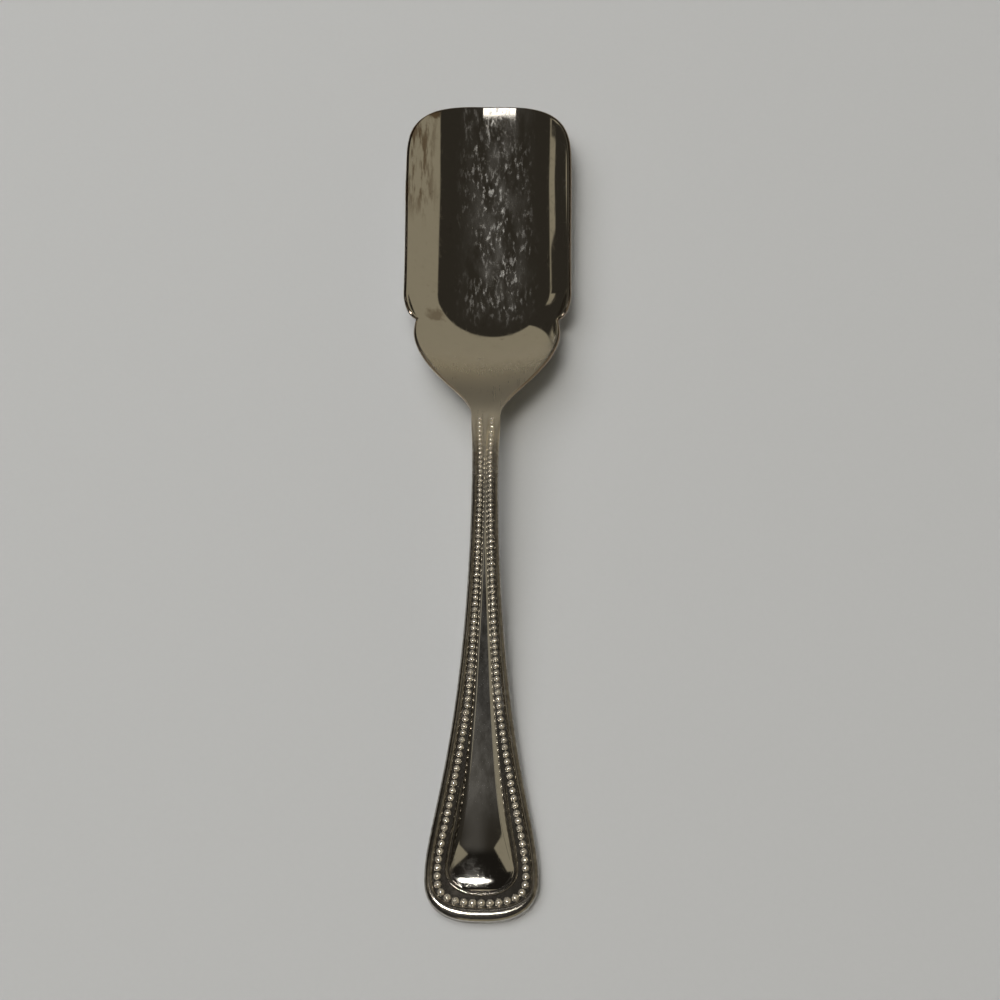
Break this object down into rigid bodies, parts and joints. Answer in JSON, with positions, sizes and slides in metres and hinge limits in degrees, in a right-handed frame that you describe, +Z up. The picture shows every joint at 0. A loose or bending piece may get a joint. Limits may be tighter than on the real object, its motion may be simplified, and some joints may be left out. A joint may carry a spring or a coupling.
{
  "type": "cheese scoop",
  "caption": "Plated serving scoop for soft cheese, with a trough-shaped bowl, cusped shoulders and a spatulate handle bordered with graduated beads.",
  "frame": {"origin": "on the table, under the middle of the scoop's length", "axes": "+Y from the handle's end to the bowl's tip, +Z up out of the open bowl, +X to the right seen from the handle"},
  "size_m": [0.0394, 0.2001, 0.0124],
  "materials": {
    "bowl_plate": "worn polished silver plate with fine scratches and light tarnish",
    "handle_plate": "worn polished silver plate with tarnish in the grooves",
    "bead_plate": "bright polished silver plate",
    "panel_plate": "polished silver plate with fine scratches"
  },
  "bodies": {
    "root": {"bowl": "bowl_plate", "handle": "handle_plate", "edge_thread": "handle_plate", "bead_border": "bead_plate", "inner_thread": "handle_plate", "centre_panel": "panel_plate"}
  },
  "joints": []
}
